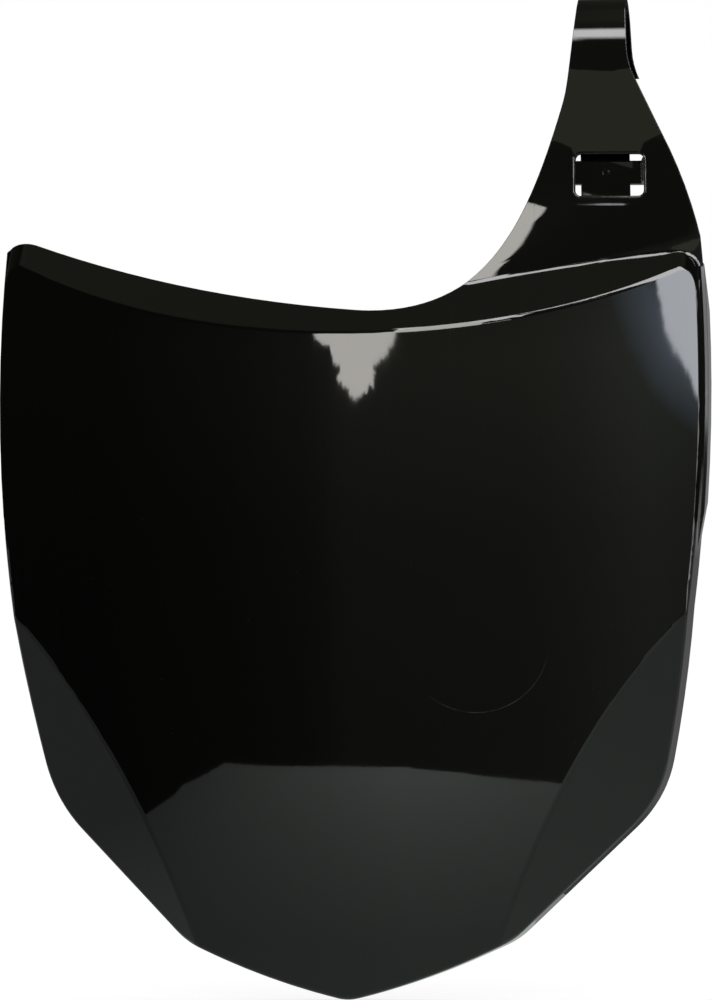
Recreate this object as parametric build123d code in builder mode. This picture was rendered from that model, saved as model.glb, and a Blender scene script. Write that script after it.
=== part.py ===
"""Front number board for an off-road motorbike: one moulded shield with a side arm and a bar hook."""

from math import cos, radians, sin, sqrt, tan
import os

from build123d import *

os.makedirs("parts", exist_ok=True)

# Walls, flange and draft
wall = 2.5
arm_wall = 3.0
flange_depth = 15.0
facet_flange_depth = 12.0
lip_width = 1.2
lip_setback = 8.0
lip_fade = ((122.7, 165.0), (118.1, 140.0))
flange_fade_half = 40.0
flange_fade_depth = 45.5
flange_fade_high = 264.0
flange_fade_low = 236.0
flange_draft = 2.5

# Locating socket on the back, whose mouth is the origin
socket_rise = 105.0
socket_setback = 38.0
socket_bore = 10.0
socket_outer = 18.0
socket_depth = 22.0
rib_wall = 2.2
rib_reach = 26.0

# Crown of the face, bowed across and along its height (rises are above the tip)
bow_radius = 250.0
rise_radius = 690.0
crown_rise = 160.0
crown_down = 230.0
crown_up = 180.0

# Outline of the face, at the plane of its foremost point
half_width = 121.6
side_radius = 500.0
side_rise = 220.0
side_overrun = 31.0
corner_half = 104.6
corner_rise = 69.0
corner_radius = 45.0
kink_half = 56.8
kink_rise = 21.6
kink_radius = 25.0
tip_rise = 0.8
tip_sag = 1.8
tip_radius = 14.0

# Sloped brow along the top of the face
brow_angle = 48.0
brow_rise = 227.2
brow_radius = 505.0
brow_shift = -6.0
brow_corner_radius = 9.0

# Flat facets beside the tip
facet_half = 77.2
facet_rise = 76.8
facet_side_slope = 0.95
facet_down_slope = 0.457

# Rounded edges
crease_radius = 4.0
face_edge_radius = 2.5
valley_radius = 3.0
valley_root = 0.6
valley_seat = 0.005
valley_steps = (18, 3)

# Free top edge of the brow in front view
rim_points = ((-127.0, 269.4), (-80.0, 253.9), (5.0, 238.9))
rim_corner_radius = 12.0

# Bar hook at the top of the arm
hook_rise = 349.0
hook_radius = 7.0
hook_blend_radius = 64.0
hook_break = 30.0
hook_leg = 18.5

# Side arm, with heights as shares of the way from the brow up to the hook's top
arm_lean = 16.7
arm_top_depth = 46.5
arm_top_ends = (73.0, 103.0)
arm_mid = 83.0
arm_roll = 2.5
arm_lip_rise = 253.5

# Lower rows of the arm's front surface: share, left end, right end, depth at mid and turn
arm_root = (0.039, -6.0, 133.0, 29.2, 0.285)
arm_knee = (0.286, 64.0, 133.0, 31.2, 0.285)
arm_neck_share = 0.581
arm_neck_ends = (60.0, 116.0)

# Side arm outline in front view as half width and share
arm_left_edge = ((40.0, 0.155), (61.5, 0.369), (74.0, 0.656), (79.8, 1.025))
arm_right_edge = ((95.6, 1.025), (97.2, 0.803), (109.2, 0.600), (118.6, 0.414), (126.2, 0.023))
arm_shoulder_radius = 28.0

# Strap window and the bridge behind it
window_width = 23.6
window_height = 14.5
window_radius = 2.0
window_edge_radius = 0.8
window_centre = 91.4
window_share = 0.478
bridge_width = 17.0
bridge_leg_height = 8.2
bridge_leg_wall = 2.5
bridge_gap = 4.5
bridge_wall = 2.5
bridge_height = 16.6
bridge_shift = 0.6
bridge_lift = 2.4
pip_radius = 1.1
pip_height = 0.4

# Values that follow from the sizes above
front = -socket_setback
axis_y = front + bow_radius
crown_z = crown_rise - socket_rise
hook_outer = hook_radius + arm_wall
hook_z = hook_rise - socket_rise - hook_outer
arm_top_z = (
    hook_z
    - (hook_blend_radius - hook_outer) * sin(radians(hook_break))
    + hook_blend_radius * sin(radians(arm_lean))
)
hook_y = (
    front
    + arm_top_depth
    - (hook_blend_radius - hook_outer) * cos(radians(hook_break))
    + hook_blend_radius * cos(radians(arm_lean))
)
reach = 130.0
far = 400.0


def arm_z(share):
    """Height of a share of the way from the brow up to the hook's top."""
    return brow_rise + share * (hook_rise - brow_rise) - socket_rise


def crown_y(x, z, inset=0.0):
    """Depth coordinate of the crown at a place in front view."""
    girth = sqrt((rise_radius - inset) ** 2 - (z - crown_z) ** 2) - (rise_radius - bow_radius)
    return axis_y - sqrt(girth**2 - x**2)


def crown_block(inset, facet_inset):
    """Everything behind the face and its facets, set in by an amount."""
    low = crown_z - crown_down
    high = crown_z + crown_up
    with BuildPart() as block:
        with BuildSketch(Plane.YZ):
            with BuildLine():
                ThreePointArc(
                    (crown_y(0, low, inset), low),
                    (crown_y(0, crown_z, inset), crown_z),
                    (crown_y(0, high, inset), high),
                )
                Polyline(
                    (crown_y(0, high, inset), high),
                    (axis_y, high),
                    (axis_y, low),
                    (crown_y(0, low, inset), low),
                )
            make_face()
        revolve(axis=Axis((0, axis_y, 0), (0, 0, 1)))
        for side in (-1, 1):
            facet_z = facet_rise - socket_rise
            spot = Vector(side * facet_half, crown_y(facet_half, facet_z), facet_z)
            outward = Vector(side * facet_side_slope, -1, -facet_down_slope).normalized()
            split(bisect_by=Plane(spot - outward * facet_inset, z_dir=outward), keep=Keep.BOTTOM)
    return block.part


def skirt_block(inset):
    """Drafted prism of the side and lower outline."""
    top_rise = hook_rise + side_overrun
    side_top = (half_width - (top_rise - side_rise) ** 2 / (2 * side_radius), top_rise - socket_rise)
    corner = (corner_half, corner_rise - socket_rise)
    kink = (kink_half, kink_rise - socket_rise)
    tip = (0, tip_rise - socket_rise)
    with BuildPart() as block:
        with BuildSketch(Plane.XZ.offset(socket_setback)) as outline:
            with BuildLine():
                Line((0, side_top[1]), side_top)
                ThreePointArc(side_top, (half_width, side_rise - socket_rise), corner)
                Line(corner, kink)
                SagittaArc(kink, tip, tip_sag)
                mirror(about=Plane.YZ)
            make_face()
            for (_, height), radius in ((corner, corner_radius), (kink, kink_radius), (tip, tip_radius)):
                fillet(outline.vertices().filter_by_position(Axis.Y, height - 0.1, height + 0.1), radius)
            if inset:
                offset(amount=-inset)
        extrude(amount=-reach, taper=-flange_draft)
    return block.part


def brow_block(inset):
    """Everything below the sloped brow."""
    mid = brow_rise - socket_rise - inset / cos(radians(brow_angle))
    side = mid - brow_radius + sqrt(brow_radius**2 - far**2)
    with BuildPart() as block:
        with BuildSketch(Plane.XZ.offset(socket_setback)):
            with BuildLine():
                ThreePointArc((brow_shift - far, side), (brow_shift, mid), (brow_shift + far, side))
                Polyline(
                    (brow_shift + far, side),
                    (brow_shift + far, -far),
                    (brow_shift - far, -far),
                    (brow_shift - far, side),
                )
            make_face()
        extrude(amount=-reach, taper=-brow_angle)
    return block.part


def shield_block(inset):
    """Solid shield with rounded top corners, set in by an amount."""
    with BuildPart() as block:
        add(skirt_block(inset))
        add(brow_block(inset), mode=Mode.INTERSECT)
        add(crown_block(inset, inset), mode=Mode.INTERSECT)
        corners = [
            edge
            for edge in block.edges().filter_by_position(Axis.Z, brow_rise - socket_rise, far)
            if abs(edge.center().X) > 0.9 * half_width and edge.length > reach / 4
        ]
        fillet(corners, brow_corner_radius - inset)
    return block.part


def profile_block():
    """Prism of the free top edge and the arm outline in front view."""
    rim_line = [(x, rise - socket_rise) for x, rise in rim_points]
    shoulder = [(x, arm_z(share)) for x, share in arm_right_edge]
    with BuildPart() as block:
        with BuildSketch(Plane.XZ) as outline:
            with BuildLine():
                rim = ThreePointArc(*rim_line)
                edge = Spline(
                    rim @ 1,
                    *[(x, arm_z(share)) for x, share in arm_left_edge],
                    tangents=(rim % 1, (0.1, 1)),
                )
                Polyline(edge @ 1, *shoulder[:3])
                ThreePointArc(*shoulder[2:])
                Polyline(
                    shoulder[-1],
                    (half_width + reach, shoulder[-1][1]),
                    (half_width + reach, -far),
                    (rim_line[0][0], -far),
                    rim @ 0,
                )
            make_face()
            fillet(outline.vertices().sort_by_distance(Vector(*rim_line[0]))[0], rim_corner_radius)
            fillet(outline.vertices().sort_by_distance(Vector(*shoulder[1]))[0], arm_shoulder_radius)
        extrude(amount=reach, both=True)
    return block.part


def arm_surface():
    """Front surface of the arm as a patch that turns to face the hook."""
    neck_depth = arm_top_depth - tan(radians(arm_lean)) * (arm_top_z - arm_z(arm_neck_share))
    rows = (
        (arm_z(arm_root[0]), *arm_root[1:]),
        (arm_z(arm_knee[0]), *arm_knee[1:]),
        (arm_z(arm_neck_share), *arm_neck_ends, neck_depth, 0.0),
        (arm_top_z, *arm_top_ends, arm_top_depth, 0.0),
    )
    net = []
    for z, left, right, depth, turn in rows:
        row = []
        for step in range(5):
            x = left + (right - left) * step / 4
            roll = arm_roll if turn and step in (0, 4) else 0.0
            row.append((x, front + depth + turn * (x - arm_mid) + roll, z))
        net.append(row)
    return Face.make_bezier_surface(net)


def valley_section(spot, along, slope, blade):
    """Section of the rounded valley at a spot where the brow meets the front of the arm."""
    slope_normal = slope.normal_at(spot)
    blade_normal = blade.normal_at(spot)
    outward = (slope_normal + blade_normal).normalized()
    half = radians(90 - slope_normal.get_angle(blade_normal) / 2)
    touch_x = valley_radius / tan(half) * cos(half)
    touch_y = valley_radius / tan(half) * sin(half)
    with BuildSketch(Plane(spot - outward * valley_seat, x_dir=outward, z_dir=along)) as section:
        with BuildLine():
            ThreePointArc(
                (touch_x, -touch_y), (valley_radius / sin(half) - valley_radius, 0), (touch_x, touch_y)
            )
            Polyline((touch_x, touch_y), (-valley_root, 0), (touch_x, -touch_y))
        make_face()
    return section.sketch


# Solid shield with its creases and the border of its face rounded
with BuildPart() as outer:
    add(shield_block(0.0))
    face = outer.faces().sort_by(Axis.Y)[0]
    facets = [plane for plane in outer.faces().filter_by(GeomType.PLANE) if plane.center().Y < 0]
    fillet([edge for facet in facets for edge in face.edges() & facet.edges()], crease_radius)
    shown = [
        patch.edges()
        for patch in outer.faces()
        if patch.normal_at().Y < -0.5 and patch.normal_at().Z < 0.5
    ]
    edges = [edge for group in shown for edge in group]
    border = [edge for edge in edges if edges.count(edge) == 1]
    fillet(border, face_edge_radius)
outer_block = outer.part
inner_block = shield_block(wall)
rear_block = crown_block(flange_depth, facet_flange_depth)
lip_block = crown_block(lip_setback, lip_setback)
front_profile = profile_block()
arm_face = arm_surface()

# Side outline that the arm keeps to: the flange, and the lip above the brow
with BuildPart() as side_limit:
    add(skirt_block(-lip_width))
    split(bisect_by=Plane.XY.offset(arm_lip_rise - socket_rise), keep=Keep.TOP)
    add(skirt_block(0.0))

# Arm blade, cut to its outline
with BuildPart() as arm:
    thicken(arm_face, amount=arm_wall, normal_override=(0, 1, 0))
    add(front_profile, mode=Mode.INTERSECT)
    add(side_limit.part, mode=Mode.INTERSECT)

# Rounded valley where the arm rises out of the brow
with BuildPart() as crest:
    add(outer_block)
    thicken(arm_face, amount=arm_wall, normal_override=(0, 1, 0))
    blade = crest.faces().filter_by(GeomType.BEZIER).sort_by(Axis.Y)[0]
    slopes = [
        patch
        for patch in crest.faces().filter_by(GeomType.BSPLINE)
        if patch.normal_at().Z > 0.4 and patch.normal_at().Y < -0.4 and patch.edges() & blade.edges()
    ]
    shared = [(patch, edge) for patch in slopes for edge in patch.edges() & blade.edges()]
    shared.sort(key=lambda pair: -pair[1].length)
stations = [
    (edge @ (step / steps), edge % (step / steps), patch)
    for (patch, edge), steps in zip(shared, valley_steps)
    for step in range(steps)
]
with BuildPart() as valley:
    for spot, along, patch in sorted(stations, key=lambda station: station[0].X):
        add(valley_section(spot, along, patch, blade))
    loft()
    add(front_profile, mode=Mode.INTERSECT)
    add(side_limit.part, mode=Mode.INTERSECT)

# Hook that drops over the bar
with BuildPart() as hook:
    blend_y = hook_y + (hook_blend_radius - hook_outer) * cos(radians(hook_break))
    blend_z = hook_z - (hook_blend_radius - hook_outer) * sin(radians(hook_break))
    with BuildSketch(Plane.YZ.offset(arm_top_ends[0])):
        with BuildLine():
            outer_blend = CenterArc(
                (blend_y, blend_z), hook_blend_radius, 180 - arm_lean, arm_lean - hook_break
            )
            outer_roll = CenterArc((hook_y, hook_z), hook_outer, 180 - hook_break, hook_break - 180)
            inner_roll = CenterArc((hook_y, hook_z), hook_radius, 0, 180 - hook_break)
            inner_blend = CenterArc(
                (blend_y, blend_z), hook_blend_radius - arm_wall, 180 - hook_break, hook_break - arm_lean
            )
            Polyline(
                outer_roll @ 1,
                (hook_y + hook_outer, hook_z - hook_leg),
                (hook_y + hook_radius, hook_z - hook_leg),
                inner_roll @ 0,
            )
            Line(inner_blend @ 1, outer_blend @ 0)
        make_face()
    extrude(amount=arm_top_ends[1] - arm_top_ends[0])
    add(front_profile, mode=Mode.INTERSECT)

# Locating socket with its gusset ribs
with BuildPart() as socket:
    with BuildSketch(Plane.XZ):
        Circle(socket_outer / 2)
    extrude(amount=2 * socket_setback)
    for rib_plane in (Plane.YZ, Plane.YX):
        with BuildSketch(rib_plane):
            Polygon(
                (-0.1 * socket_setback, -socket_outer / 2),
                (-0.1 * socket_setback, socket_outer / 2),
                (-socket_setback, rib_reach),
                (-socket_setback, -rib_reach),
                align=None,
            )
        extrude(amount=rib_wall / 2, both=True)
    add(crown_block(wall / 2, wall / 2), mode=Mode.INTERSECT)
    with BuildSketch(Plane.XZ):
        Circle(socket_bore / 2)
    extrude(amount=socket_depth, mode=Mode.SUBTRACT)

# Bridge that keeps the strap behind the window
window_z = arm_z(window_share)
window_line = Axis((window_centre, -far, window_z), (0, 1, 0))
window_spot, window_normal = arm_face.find_intersection_points(window_line)[0]
inward = window_normal if window_normal.Y > 0 else window_normal * -1
strap_plane = Plane(window_spot, x_dir=Vector(0, 0, 1).cross(inward), z_dir=inward)
with BuildPart() as bridge:
    with BuildSketch(strap_plane.offset(arm_wall + bridge_gap)):
        with Locations((bridge_shift, bridge_lift)):
            Rectangle(bridge_width, bridge_height)
        with Locations((0, bridge_lift)):
            Rectangle(window_width + 2 * bridge_leg_wall, bridge_leg_height)
    extrude(amount=bridge_wall)
    with BuildSketch(strap_plane.offset(arm_wall / 2)):
        with Locations((0, bridge_lift)):
            with GridLocations(window_width + bridge_leg_wall, 1, 2, 1):
                Rectangle(bridge_leg_wall, bridge_leg_height)
    extrude(amount=arm_wall / 2 + bridge_gap + bridge_wall)
    with BuildSketch(strap_plane.offset(arm_wall + bridge_gap)):
        with Locations((bridge_shift, bridge_lift)):
            Circle(pip_radius)
    extrude(amount=-pip_height)

# Outward lip along the rear of the side walls, which fades out at its lower ends
with BuildPart() as lip:
    add(skirt_block(-lip_width))
    add(brow_block(0.0), mode=Mode.INTERSECT)
    add(lip_block, mode=Mode.INTERSECT)
    (fade_start, start_rise), (fade_end, end_rise) = lip_fade
    split(bisect_by=Plane.XY.offset(end_rise - socket_rise), keep=Keep.TOP)
    for side in (-1, 1):
        outward = Vector(side * (start_rise - end_rise), 0, fade_end - fade_start)
        spot = (side * fade_start, 0, start_rise - socket_rise)
        split(bisect_by=Plane(spot, z_dir=outward), keep=Keep.BOTTOM)

# Whole moulding
flange_rear = crown_y(half_width + lip_width, flange_fade_low - socket_rise, flange_depth)
with BuildPart() as number_board:
    add(outer_block)
    add(lip.part)
    add(rear_block, mode=Mode.SUBTRACT)
    with BuildSketch(Plane.YZ.offset(flange_fade_half)):
        Polygon(
            (front + flange_fade_depth, far),
            (front + flange_fade_depth, flange_fade_high - socket_rise),
            (flange_rear + wall, flange_fade_low - socket_rise),
            (front + reach, flange_fade_low - socket_rise),
            (front + reach, far),
            align=None,
        )
    extrude(amount=reach, mode=Mode.SUBTRACT)
    add(front_profile, mode=Mode.INTERSECT)
    add(arm.part)
    add(valley.part)
    add(hook.part)
    add(inner_block, mode=Mode.SUBTRACT)
    with BuildSketch(Plane.XZ):
        with Locations((window_centre, window_z)):
            RectangleRounded(window_width, window_height, window_radius)
    extrude(amount=reach, both=True, mode=Mode.SUBTRACT)
    blade = number_board.faces().filter_by(GeomType.BEZIER).sort_by(SortBy.AREA)[-1]
    fillet(blade.inner_wires()[0].edges(), window_edge_radius)
    add(bridge.part)
    add(socket.part)

number_board.part.label = "number_board"
export_step(number_board.part, "parts/number_board.step")
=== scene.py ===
"""Racing number board: one gloss black moulding in a plain white studio."""

from math import ceil, cos, hypot, radians, sin
from random import Random

import bpy
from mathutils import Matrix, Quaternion, Vector


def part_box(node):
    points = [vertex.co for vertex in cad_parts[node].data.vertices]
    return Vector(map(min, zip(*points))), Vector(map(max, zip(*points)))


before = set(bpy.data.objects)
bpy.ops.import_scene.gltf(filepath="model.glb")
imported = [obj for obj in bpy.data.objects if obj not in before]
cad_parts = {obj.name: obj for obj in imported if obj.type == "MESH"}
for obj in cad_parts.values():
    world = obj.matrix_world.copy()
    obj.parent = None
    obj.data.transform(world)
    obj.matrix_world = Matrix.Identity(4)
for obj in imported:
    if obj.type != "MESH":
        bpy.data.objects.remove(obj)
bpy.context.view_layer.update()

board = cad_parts["number_board"]
board_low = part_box("number_board")[0]
scene = bpy.context.scene
scene.view_settings.view_transform = "Standard"

# Camera: a long lens, a little to the right of the board
VIEW_AZIMUTH = radians(7.0)
VIEW_DISTANCE = 2.5
VIEW_AIM = Vector((0.0019, 0.0003, 0.0683))
VIEW_ROLL = radians(-0.44)
VIEW_END = 50.0
SENSOR_HEIGHT = 36.0
LENS = 258.15

# Studio: centre and reach of what the gloss mirrors, and the level of the plain light
STUDIO_CENTRE = Vector((0.0, 0.0, 0.07))
CARD_REACH = 2.9
HALO_REACH = 3.0
WALL_REACH = 3.2
SOFT_LIGHT = 0.5

# Dim room: lowest row and step of its mesh, in degrees
WALL_LOWEST = -66
WALL_STEP = 6

# Floor: half its side, its front edge, its paint, and its glow to the rays that look at it
FLOOR_HALF = 4.0
FLOOR_FRONT = -0.06
FLOOR_PAINT = 0.45
FLOOR_GLOW = 0.82

# Dim cover of the floor, and the table: heights over the floor, and levels
COVER_LIFT = 0.0003
COVER_LEVEL = 0.30
TABLE_LIFT = 0.0006
TABLE_LEVEL = 1.05

# Tints of the light
WHITE = (1.0, 1.0, 1.0)
WARM = (1.0, 0.97, 0.91)
COOL = (0.89, 0.93, 1.0)
BLUE = (0.67, 0.82, 1.0)
OLIVE = (0.97, 1.0, 0.74)
TABLE_TINT = (0.92, 1.0, 0.94)

# Cards: rim of a crisp card as a share of the way in, and level of a dark one
CRISP = 0.002
DARK = 0.09

# Upright planes of the near cards, in millimetres: before the crease, before the arm, behind the lip
CREASE_PLANE = -80.0
BEAD_PLANE = -79.0
ARM_PLANE = -34.0
RIM_PLANE = 60.0
RIM_REAR_PLANE = 61.0

# Turned upright plane across what the arm mirrors: its turn, and its reach in millimetres
ACROSS_TURN = radians(25.0)
ARM_REACH = 102.3
SWELL_REACH = 101.3

# Plastic: tone of the bare skin, and what each mark adds to it
PLASTIC_IOR = 1.49
SKIN_TONE = 0.0015
CURL_TONE = 0.035
FINE_TONE = 0.002
DUST_TONE = 0.02

# Plastic: roughness of the haze, and what each scratch adds to it
HAZE_ROUGH = (0.025, 0.050)
FINE_ROUGH = 0.03
CURL_ROUGH = 0.25

# Plastic: softened edges, and the heights of its relief
EDGE_RADIUS = 0.0003
RIPPLE_HEIGHT = 0.00003
SWELL_HEIGHT = 0.000031
PEEL_HEIGHT = 0.0000012

# Curved hair scratch: centre in front view, radius, half widths of core and rim, sector and fade in radians
CURL_CENTRE = (0.0470, 0.0196)
CURL_RADIUS = 0.02465
CURL_HALF_WIDTHS = (0.00006, 0.00024)
CURL_SECTOR = (-2.30, -0.20)
CURL_FADE = 0.25
FRONT_FADE = (-0.5, -0.3)

# Low swell under the strap window: height of its crest, its width, and where its ends fade
SWELL_CREST = 0.1692
SWELL_WIDTH = 0.0011
SWELL_LEFT = (0.076, 0.082)
SWELL_RIGHT = (0.096, 0.102)

# Dust: how many specks to a metre, and their size between core and rim
DUST_SCALE = 150.0
DUST_SIZE = (0.020, 0.034)


def direction(azimuth, elevation):
    """Unit vector from the board: azimuth turns right from the front, elevation goes up, in degrees."""
    a = radians(azimuth)
    e = radians(elevation)
    return Vector((sin(a) * cos(e), -cos(a) * cos(e), sin(e)))


# Nodes

def node_material(name):
    """Empty node material with its output."""
    material = bpy.data.materials.new(name)
    material.use_nodes = True
    tree = material.node_tree
    tree.nodes.clear()
    return material, tree, tree.nodes.new("ShaderNodeOutputMaterial")


def add_node(tree, kind, **settings):
    """New node with its settings; a value for a socket is given by the socket's name."""
    node = tree.nodes.new(kind)
    for key, value in settings.items():
        if hasattr(node, key):
            setattr(node, key, value)
        else:
            node.inputs[key].default_value = value
    return node


def math_node(tree, operation, first, second=None):
    """Math node whose one or two inputs are sockets or numbers."""
    node = add_node(tree, "ShaderNodeMath", operation=operation)
    for socket, value in zip(node.inputs, (first, second)):
        if value is None:
            continue
        if isinstance(value, (int, float)):
            socket.default_value = value
        else:
            tree.links.new(value, socket)
    return node.outputs["Value"]


def times(tree, first, second):
    return math_node(tree, "MULTIPLY", first, second)


def plus(tree, first, second):
    return math_node(tree, "ADD", first, second)


def minus(tree, first, second):
    return math_node(tree, "SUBTRACT", first, second)


def map_range(tree, value, given, wanted):
    """Value carried from one range to another, held at its ends."""
    node = add_node(tree, "ShaderNodeMapRange")
    for key, number in zip(("From Min", "From Max", "To Min", "To Max"), (*given, *wanted)):
        node.inputs[key].default_value = number
    tree.links.new(value, node.inputs["Value"])
    return node.outputs["Result"]


def ramp(tree, value, stops):
    """Level read along a row of stops, each a place and its level."""
    low, high = stops[0][0], stops[-1][0]
    node = add_node(tree, "ShaderNodeValToRGB")
    elements = node.color_ramp.elements
    elements[0].color = (*[stops[0][1]] * 3, 1.0)
    elements[1].color = (*[stops[-1][1]] * 3, 1.0)
    for place, level in stops[1:-1]:
        elements.new((place - low) / (high - low)).color = (level, level, level, 1.0)
    tree.links.new(map_range(tree, value, (low, high), (0.0, 1.0)), node.inputs["Fac"])
    return node.outputs["Color"]


def coordinates(tree, kind):
    """Texture coordinates of one kind, such as Object or Normal."""
    return add_node(tree, "ShaderNodeTexCoord").outputs[kind]


def split(tree, vector):
    """The three parts of a vector, named X, Y and Z."""
    node = add_node(tree, "ShaderNodeSeparateXYZ")
    tree.links.new(vector, node.inputs["Vector"])
    return node.outputs


def noise(tree, place, scale, detail):
    """Soft grain of one scale."""
    grain = add_node(tree, "ShaderNodeTexNoise", Scale=scale, Detail=detail)
    tree.links.new(place, grain.inputs["Vector"])
    return grain.outputs["Fac"]


def bump(tree, height, distance, normal):
    """Normal with a relief on it."""
    node = add_node(tree, "ShaderNodeBump", Strength=1.0, Distance=distance)
    tree.links.new(height, node.inputs["Height"])
    tree.links.new(normal, node.inputs["Normal"])
    return node.outputs["Normal"]


def add_shaders(tree, first, second, output):
    """Two shaders added together at the output."""
    both = add_node(tree, "ShaderNodeAddShader")
    tree.links.new(first, both.inputs[0])
    tree.links.new(second, both.inputs[1])
    tree.links.new(both.outputs["Shader"], output.inputs["Surface"])


def seen_mask(tree):
    """One where a camera, glossy or transmission ray looks, and zero for the rays that carry light."""
    path = add_node(tree, "ShaderNodeLightPath")
    seen = math_node(tree, "MAXIMUM", path.outputs["Is Camera Ray"], path.outputs["Is Glossy Ray"])
    return math_node(tree, "MAXIMUM", seen, path.outputs["Is Transmission Ray"])


# Studio

def mesh_object(name, points, faces):
    """Mesh object linked to the scene."""
    mesh = bpy.data.meshes.new(name)
    mesh.from_pydata(points, [], faces)
    mesh.update()
    thing = bpy.data.objects.new(name, mesh)
    scene.collection.objects.link(thing)
    return thing


def hide_from_camera(thing):
    """Leaves a part of the studio in mirror images only."""
    thing.visible_camera = False
    thing.visible_diffuse = False
    thing.visible_shadow = False


def glow_material(name, colour, strength):
    """Plain glow, see-through where the cover of the card runs out."""
    material, tree, output = node_material(name)
    glow = add_node(tree, "ShaderNodeEmission", Color=(*colour, 1.0), Strength=strength)
    clear = add_node(tree, "ShaderNodeBsdfTransparent")
    cover = add_node(tree, "ShaderNodeAttribute", attribute_name="cover")
    mix = add_node(tree, "ShaderNodeMixShader")
    tree.links.new(cover.outputs["Fac"], mix.inputs["Fac"])
    tree.links.new(clear.outputs["BSDF"], mix.inputs[1])
    tree.links.new(glow.outputs["Emission"], mix.inputs[2])
    tree.links.new(mix.outputs["Shader"], output.inputs["Surface"])
    return material


def glow_card(name, points, colour, strength, soft=CRISP):
    """Glowing card, filled round its middle; its rim fades over the soft share of the way in."""
    count = len(points)
    middle = sum(points, Vector()) / count
    inner = [point.lerp(middle, soft) for point in points]
    faces = []
    for k in range(count):
        after = (k + 1) % count
        faces.append((k, after, count + after, count + k))
        faces.append((count + k, count + after, 2 * count))
    card = mesh_object(name, [*points, *inner, middle], faces)
    cover = card.data.attributes.new("cover", "FLOAT", "POINT")
    cover.data.foreach_set("value", [0.0] * count + [1.0] * (count + 1))
    card.data.materials.append(glow_material(name, colour, strength))
    hide_from_camera(card)


def sky_card(name, outline, colour, strength, soft=CRISP, reach=CARD_REACH):
    """Far card, with its outline as azimuths and elevations from the studio's centre."""
    points = [STUDIO_CENTRE + direction(a, e) * reach for a, e in outline]
    glow_card(name, points, colour, strength, soft)


def near_card(name, points, colour, strength, soft=CRISP):
    """Card near the board, with its corners in millimetres."""
    glow_card(name, [Vector(p) / 1000 for p in points], colour, strength, soft)


def on_plane(y, outline):
    """Outline in front view, set on an upright plane."""
    return [(x, y, z) for x, z in outline]


def across_arm(outline, reach=ARM_REACH):
    """Outline in front view, set on the turned plane across what the arm mirrors."""
    return [(x, (x * sin(ACROSS_TURN) - reach) / cos(ACROSS_TURN), z) for x, z in outline]


def ragged(points, step, depth, seed):
    """Outline with small notches along its sides, like leaves against the sky."""
    rng = Random(seed)
    outline = []
    for (a, b), (c, d) in zip(points, points[1:] + points[:1]):
        length = hypot(c - a, d - b)
        count = max(1, ceil(length / step))
        for k in range(count):
            share = k / count
            push = rng.uniform(-depth, depth) if k else 0.0
            outline.append((
                a + (c - a) * share - (d - b) / length * push,
                b + (d - b) * share + (c - a) / length * push,
            ))
    return outline


def build_camera():
    """Camera at the photograph's viewing angle."""
    data = bpy.data.cameras.new("photo_camera")
    data.sensor_fit = "VERTICAL"
    data.sensor_height = SENSOR_HEIGHT
    data.lens = LENS
    data.clip_end = VIEW_END
    camera = bpy.data.objects.new("photo_camera", data)
    scene.collection.objects.link(camera)
    back = Vector((sin(VIEW_AZIMUTH), -cos(VIEW_AZIMUTH), 0.0))
    camera.location = VIEW_AIM + back * VIEW_DISTANCE
    turn = (-back).to_track_quat("-Z", "Y") @ Quaternion((0.0, 0.0, 1.0), VIEW_ROLL)
    camera.rotation_euler = turn.to_euler()
    scene.camera = camera


def build_world():
    """White to look at, and a plain soft light."""
    world = bpy.data.worlds.new("studio")
    scene.world = world
    world.use_nodes = True
    tree = world.node_tree
    tree.nodes.clear()
    output = tree.nodes.new("ShaderNodeOutputWorld")
    level = map_range(tree, seen_mask(tree), (0.0, 1.0), (SOFT_LIGHT, 1.0))
    background = add_node(tree, "ShaderNodeBackground", Color=(*WHITE, 1.0))
    tree.links.new(level, background.inputs["Strength"])
    tree.links.new(background.outputs["Background"], output.inputs["Surface"])


def floor_corners(lift):
    """Corners of the floor under the tip, raised by a little for the cover that lies on it."""
    level = board_low.z + lift
    corners = [(-FLOOR_HALF, FLOOR_FRONT), (FLOOR_HALF, FLOOR_FRONT)]
    corners += [(FLOOR_HALF, FLOOR_HALF), (-FLOOR_HALF, FLOOR_HALF)]
    return [Vector((x, y, level)) for x, y in corners]


def build_floor():
    """Pale floor under the tip, with a soft shadow."""
    floor = mesh_object("floor", floor_corners(0.0), [(0, 1, 2, 3)])
    material, tree, output = node_material("floor_white")
    paint = add_node(tree, "ShaderNodeBsdfDiffuse", Color=(FLOOR_PAINT, FLOOR_PAINT, FLOOR_PAINT, 1.0))
    glow = add_node(tree, "ShaderNodeEmission", Color=(*WHITE, 1.0))
    tree.links.new(times(tree, seen_mask(tree), FLOOR_GLOW), glow.inputs["Strength"])
    add_shaders(tree, paint.outputs["BSDF"], glow.outputs["Emission"], output)
    floor.data.materials.append(material)
    # A dim cover keeps the gloss from mirroring a white floor
    glow_card("floor_card", floor_corners(COVER_LIFT), WHITE, COVER_LEVEL)


def wall_mesh():
    """Sphere of the dim room, open at its foot."""
    columns = range(-180, 181, WALL_STEP)
    rows = range(WALL_LOWEST, 91, WALL_STEP)
    points = [direction(a, e) * WALL_REACH for e in rows for a in columns]
    width = len(columns)
    faces = []
    for r in range(len(rows) - 1):
        for c in range(width - 1):
            start = r * width + c
            faces.append((start, start + 1, start + 1 + width, start + width))
    return mesh_object("dark_wall", points, faces)


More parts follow.
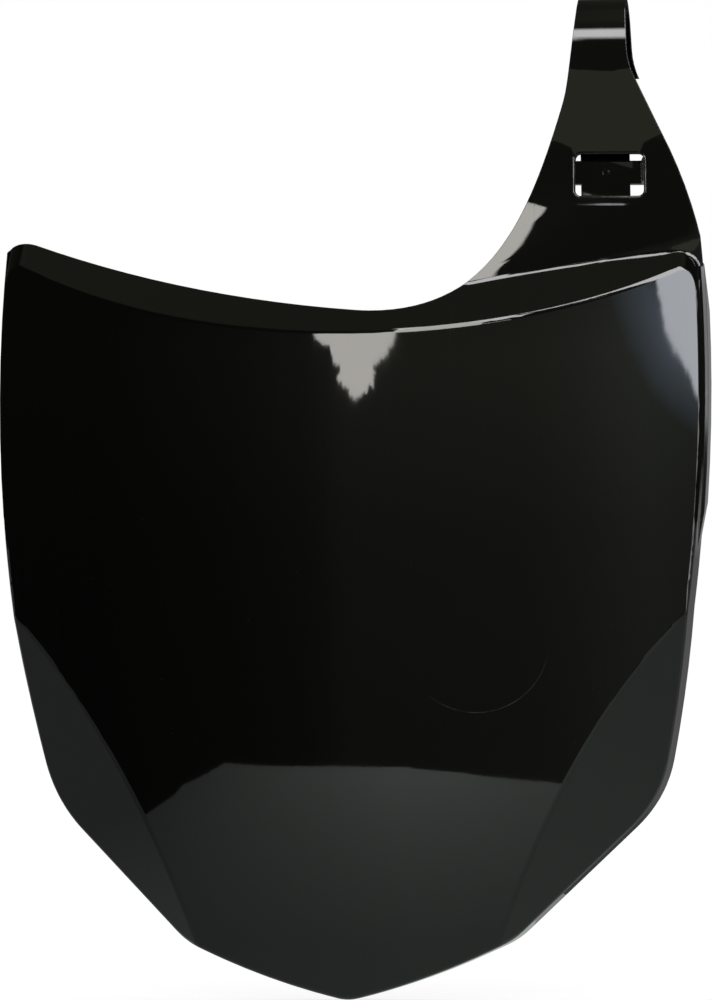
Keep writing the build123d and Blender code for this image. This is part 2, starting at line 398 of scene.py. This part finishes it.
def build_dark_wall():
    """Dim room round the board for the gloss to mirror: lightest to the right, at head height."""
    wall = wall_mesh()
    wall.location = STUDIO_CENTRE
    material, tree, output = node_material("dark_wall")
    axes = split(tree, coordinates(tree, "Object"))
    azimuth = math_node(tree, "ARCTAN2", axes["X"], times(tree, axes["Y"], -1.0))
    azimuth = math_node(tree, "DEGREES", azimuth)
    elevation = math_node(tree, "ARCSINE", math_node(tree, "DIVIDE", axes["Z"], WALL_REACH))
    elevation = math_node(tree, "DEGREES", elevation)
    # Levels by azimuth and by elevation, which multiply, and the level that is added overhead
    round_stops = [(-180, 0.03), (-70, 0.035), (-49, 0.04), (-27, 0.08), (-13, 0.13), (-5, 0.22)]
    round_stops += [(25, 0.26), (33, 0.32), (40, 0.42), (46, 0.50), (52, 0.46), (60, 0.36)]
    round_stops += [(70, 0.25), (100, 0.10), (150, 0.03), (180, 0.03)]
    up_stops = [(-90, 0.40), (-14, 0.45), (-4, 0.53), (0, 0.58), (4, 0.72), (8.5, 0.88)]
    up_stops += [(12, 1.0), (15, 0.90), (20, 0.40), (60, 0.30), (72, 0.03), (90, 0.03)]
    overhead_stops = [(-90, 0.0), (20, 0.0), (24, 0.02), (50, 0.02), (58, 0.16), (90, 0.16)]
    level = times(tree, ramp(tree, azimuth, round_stops), ramp(tree, elevation, up_stops))
    # The room turns from olive to a little blue on its way to the window
    tint = add_node(tree, "ShaderNodeMixRGB", Color1=(*OLIVE, 1.0), Color2=(*BLUE, 1.0))
    tree.links.new(map_range(tree, azimuth, (30, 48), (0.1, 0.35)), tint.inputs["Fac"])
    room = add_node(tree, "ShaderNodeEmission")
    tree.links.new(tint.outputs["Color"], room.inputs["Color"])
    tree.links.new(level, room.inputs["Strength"])
    ceiling = add_node(tree, "ShaderNodeEmission", Color=(*OLIVE, 1.0))
    tree.links.new(ramp(tree, elevation, overhead_stops), ceiling.inputs["Strength"])
    add_shaders(tree, room.outputs["Emission"], ceiling.outputs["Emission"], output)
    wall.data.materials.append(material)
    hide_from_camera(wall)


def build_window():
    """Window to the right with its soft blue surround, which the upper right of the face mirrors."""
    window = [(49.8, 16.4), (49.9, 15.7), (50.3, 15.0), (50.3, 14.3), (50.6, 13.3), (50.6, 12.7)]
    window += [(51.0, 12.1), (51.8, 11.3), (52.8, 10.8), (53.6, 10.1), (54.9, 9.5), (55.2, 8.7)]
    window += [(55.7, 8.2), (60.0, 7.5), (66.0, 7.5), (66.0, 21.5), (58.0, 21.5), (49.6, 21.5)]
    outline = ragged(window, step=0.14, depth=0.20, seed=3)
    sky_card("window_card", outline, COOL, strength=9.8, soft=0.07)
    halo = [(41.0, 21.0), (41.0, 16.0), (43.5, 12.0), (47.0, 9.0)]
    halo += [(51.5, 7.0), (56.5, 5.5), (68.0, 5.5), (68.0, 21.0)]
    sky_card("halo_card", halo, BLUE, strength=1.6, soft=0.80, reach=HALO_REACH)


def build_sky():
    """Sky and lamps in front, which the middle of the face, the hook, the creases and the arm mirror."""
    gap = [(-11.7, 14.7), (-11.6, 13.2), (-9.0, 13.0), (-8.2, 12.1), (-6.3, 11.2), (-5.8, 10.9)]
    gap += [(-7.2, 10.6), (-5.4, 10.1), (-4.3, 9.1), (-3.2, 9.4), (-2.4, 9.6), (-1.2, 10.2)]
    gap += [(-0.4, 10.2), (-1.2, 10.5), (-0.3, 10.8), (-0.4, 11.5), (0.9, 12.1), (1.7, 12.3)]
    gap += [(3.0, 13.2), (4.2, 14.7)]
    outline = ragged(gap, step=0.16, depth=0.30, seed=8)
    sky_card("sky_gap_card", outline, WARM, strength=9.6, soft=0.05)
    hook = [(-6.8, 45.2), (-2.7, 45.2), (-2.7, 51.8), (-6.8, 51.8)]
    sky_card("hook_card", hook, WHITE, strength=12.0, soft=0.50)
    band = [(-2.0, 46.0), (20.0, 45.0), (33.0, 43.0), (40.0, 37.0), (49.8, 20.0)]
    band += [(66.0, 20.0), (66.0, 67.0), (48.0, 67.0), (40.0, 64.0), (-2.0, 64.0)]
    sky_card("band_card", band, WHITE, strength=11.0)
    wedge = [(13.3, 31.7), (14.2, 30.8), (15.8, 27.5), (18.0, 26.0), (20.0, 23.0)]
    wedge += [(22.0, 21.0), (24.0, 24.0), (21.0, 29.5), (17.0, 33.0), (13.0, 34.0)]
    sky_card("wedge_card", wedge, WARM, strength=10.0)


def build_rear_lights():
    """Two dim lights behind the board, so that its back shows its forms."""
    for name, side in (("left", -1), ("right", 1)):
        rear = [(side * 152, 26), (side * 178, 26), (side * 178, 58), (side * 152, 58)]
        sky_card(f"rear_card_{name}", rear, WHITE, strength=2.5)


def build_crease_cards():
    """Sky that lights the crease beside the sky gap, and a dark card before the hook's lamp above it."""
    sky = [(-17, 138), (25, 138.2), (34, 139), (44, 140.2), (54, 142), (64, 144.5), (62, 200)]
    sky += [(48, 260), (36, 235), (28, 205), (20, 172), (12, 154), (-10, 154)]
    near_card("crease_sky_card", on_plane(CREASE_PLANE, sky), WARM, strength=9.6)
    bead = [(-12, 158), (20, 158), (20, 200), (-12, 200)]
    near_card("bead_shade_card", on_plane(BEAD_PLANE, bead), OLIVE, DARK)


def build_arm_cards():
    """Dim over the upper arm, dark over the lower arm, a glint under the window, light at the right root."""
    upper = [(70, 246.8), (75, 245.3), (79, 244.3), (85, 242.2), (90, 241.1), (95, 241), (100, 240.4)]
    upper += [(103, 232.7), (108.3, 222.4), (113.5, 213.2), (118.7, 204.1), (113.6, 203.1)]
    upper += [(109.6, 202.1), (109.6, 198.6), (82.4, 205.5), (81.3, 208.2), (75.2, 212.3)]
    upper += [(69.2, 213.3), (69, 237.2)]
    near_card("arm_card", on_plane(ARM_PLANE, upper), OLIVE, strength=0.46, soft=0.02)
    shade = [(76, 238), (76, 228), (77, 214), (78.5, 211.5), (86.3, 203.8), (84.6, 199), (83.4, 192.3)]
    shade += [(81.8, 186), (79, 180.3), (76.5, 178.2), (78.8, 177.2), (75.8, 173.5), (74.8, 171)]
    shade += [(74.6, 167), (100, 164), (128, 161), (150, 161), (152, 168), (142, 186), (128, 206)]
    shade += [(117, 212), (115, 208), (115, 204), (88, 226), (83, 234)]
    near_card("arm_shade_card", across_arm(shade), OLIVE, DARK, soft=0.11)
    glint = [(97.5, 200), (98.7, 199), (107.3, 193.8), (114, 190.2), (121.5, 186.2)]
    glint += [(121.5, 187.8), (114, 191.8), (107.3, 195.6), (98.7, 200.8)]
    near_card("swell_card", across_arm(glint, SWELL_REACH), COOL, strength=6.0, soft=0.40)
    light = [(139, 161.9), (141, 157.5), (148.6, 157.6), (150.2, 159.8), (150, 161.9)]
    near_card("arm_light_card", across_arm(light), OLIVE, strength=0.6, soft=0.10)


def build_lip_cards():
    """Upright strips beside and behind the lip of the right flange, dimmer towards the tip."""
    lip = [(162.5, -19.3, 10), (167.5, -10.7, 10), (167.5, -10.7, 180), (162.5, -19.3, 180)]
    near_card("lip_card", lip, WHITE, strength=3.8, soft=0.30)
    upper = [(122, 30), (141, 30), (141, 150), (122, 150)]
    near_card("rim_card_upper", on_plane(RIM_REAR_PLANE, upper), WHITE, strength=0.34)
    middle = [(100, -52), (124, -52), (141, 10), (141, 58), (122, 58), (120, 10)]
    near_card("rim_card_middle", on_plane(RIM_PLANE, middle), WHITE, strength=0.15, soft=0.25)
    lower = [(130, -28), (106, -28), (80, -52), (70, -66), (78, -92), (100, -76)]
    near_card("rim_card_lower", on_plane(RIM_REAR_PLANE, lower), WHITE, strength=0.06)


def build_table():
    """Table in front of the board, brightest before its middle, for the lower face to mirror."""
    height = board_low.z + TABLE_LIFT
    front = [(-0.60, 0.16), (-0.60, -0.10), (-0.215, -0.16), (-0.212, -0.25), (-0.190, -0.316)]
    front += [(-0.045, -0.335), (0.041, -0.331), (0.107, -0.305), (0.25, -0.22), (0.60, -0.13)]
    front += [(0.60, 0.16)]
    table = mesh_object("table_card", [(x, y, height) for x, y in front], [tuple(range(len(front)))])
    material, tree, output = node_material("table_card")
    axes = split(tree, coordinates(tree, "Object"))
    across = ramp(tree, axes["X"], [(-0.22, 0.40), (0.03, 1.0), (0.10, 1.0), (0.30, 0.80)])
    along = map_range(tree, axes["Y"], (-0.30, -0.06), (1.0, 0.50))
    level = times(tree, across, along)
    glow = add_node(tree, "ShaderNodeEmission", Color=(*TABLE_TINT, 1.0))
    tree.links.new(times(tree, level, TABLE_LEVEL), glow.inputs["Strength"])
    tree.links.new(glow.outputs["Emission"], output.inputs["Surface"])
    table.data.materials.append(material)
    hide_from_camera(table)


# Plastic

def front_mask(tree):
    """One on the skin that faces forward, and zero behind it."""
    facing = split(tree, coordinates(tree, "Normal"))["Y"]
    return map_range(tree, facing, FRONT_FADE, (1.0, 0.0))


def hair_scratch(tree, place, axes):
    """Mask of the curved hair scratch on the face: part of a ring in front view, worn unevenly."""
    x = minus(tree, axes["X"], CURL_CENTRE[0])
    z = minus(tree, axes["Z"], CURL_CENTRE[1])
    square = plus(tree, times(tree, x, x), times(tree, z, z))
    off = math_node(tree, "ABSOLUTE", minus(tree, math_node(tree, "SQRT", square), CURL_RADIUS))
    line = map_range(tree, off, CURL_HALF_WIDTHS, (1.0, 0.0))
    turn = math_node(tree, "ARCTAN2", z, x)
    first, last = CURL_SECTOR
    start = map_range(tree, turn, (first, first + CURL_FADE), (0.0, 1.0))
    stop = map_range(tree, turn, (last - CURL_FADE, last), (1.0, 0.0))
    curl = times(tree, line, times(tree, start, stop))
    wear = map_range(tree, noise(tree, place, scale=260.0, detail=2.0), (0.35, 0.60), (0.25, 1.0))
    return times(tree, times(tree, curl, front_mask(tree)), wear)


def streaks(tree, place, turn, stretch, limits):
    """Mask of fine straight scratches that run one way across the face, turned in degrees."""
    mapping = add_node(tree, "ShaderNodeMapping", Rotation=(0.0, radians(turn), 0.0), Scale=stretch)
    tree.links.new(place, mapping.inputs["Vector"])
    grain = noise(tree, mapping.outputs["Vector"], scale=1.0, detail=1.0)
    return map_range(tree, grain, limits, (0.0, 1.0))


def dust_specks(tree, place):
    """Mask of a little dust."""
    specks = add_node(tree, "ShaderNodeTexVoronoi", Scale=DUST_SCALE)
    tree.links.new(place, specks.inputs["Vector"])
    return map_range(tree, specks.outputs["Distance"], DUST_SIZE, (1.0, 0.0))


def window_swell(tree, axes):
    """Height of the low swell in the moulding just under the strap window."""
    off = math_node(tree, "DIVIDE", minus(tree, axes["Z"], SWELL_CREST), SWELL_WIDTH)
    swell = math_node(tree, "EXPONENT", times(tree, times(tree, off, off), -1.0))
    left = map_range(tree, axes["X"], SWELL_LEFT, (0.0, 1.0))
    right = map_range(tree, axes["X"], SWELL_RIGHT, (1.0, 0.0))
    return times(tree, swell, times(tree, left, right))


def build_plastic():
    """Gloss black plastic: moulded ripple, fine peel, haze, hair scratches and a little dust."""
    material, tree, output = node_material("black_plastic")
    place = coordinates(tree, "Object")
    axes = split(tree, place)
    curl = hair_scratch(tree, place, axes)
    first = streaks(tree, place, turn=24, stretch=(2600, 40, 16), limits=(0.70, 0.78))
    second = streaks(tree, place, turn=-63, stretch=(2200, 40, 20), limits=(0.71, 0.79))
    fine = math_node(tree, "MAXIMUM", first, second)
    # Tone
    tone = plus(tree, times(tree, curl, CURL_TONE), times(tree, fine, FINE_TONE))
    tone = plus(tree, tone, times(tree, dust_specks(tree, place), DUST_TONE))
    tone = plus(tree, tone, SKIN_TONE)
    colour = add_node(tree, "ShaderNodeCombineColor")
    for channel in ("Red", "Green", "Blue"):
        tree.links.new(tone, colour.inputs[channel])
    # Roughness
    rough = map_range(tree, noise(tree, place, scale=22.0, detail=4.0), (0.35, 0.70), HAZE_ROUGH)
    rough = plus(tree, rough, times(tree, fine, FINE_ROUGH))
    rough = plus(tree, rough, times(tree, curl, CURL_ROUGH))
    # Relief
    normal = add_node(tree, "ShaderNodeBevel", samples=6, Radius=EDGE_RADIUS).outputs["Normal"]
    normal = bump(tree, noise(tree, place, scale=30.0, detail=1.0), RIPPLE_HEIGHT, normal)
    normal = bump(tree, window_swell(tree, axes), SWELL_HEIGHT, normal)
    normal = bump(tree, noise(tree, place, scale=700.0, detail=2.0), PEEL_HEIGHT, normal)
    shader = add_node(tree, "ShaderNodeBsdfPrincipled", IOR=PLASTIC_IOR)
    tree.links.new(colour.outputs["Color"], shader.inputs["Base Color"])
    tree.links.new(rough, shader.inputs["Roughness"])
    tree.links.new(normal, shader.inputs["Normal"])
    tree.links.new(shader.outputs["BSDF"], output.inputs["Surface"])
    return material


build_camera()
build_world()
build_floor()
build_dark_wall()
build_window()
build_sky()
build_rear_lights()
build_crease_cards()
build_arm_cards()
build_lip_cards()
build_table()
board.data.materials.clear()
board.data.materials.append(build_plastic())
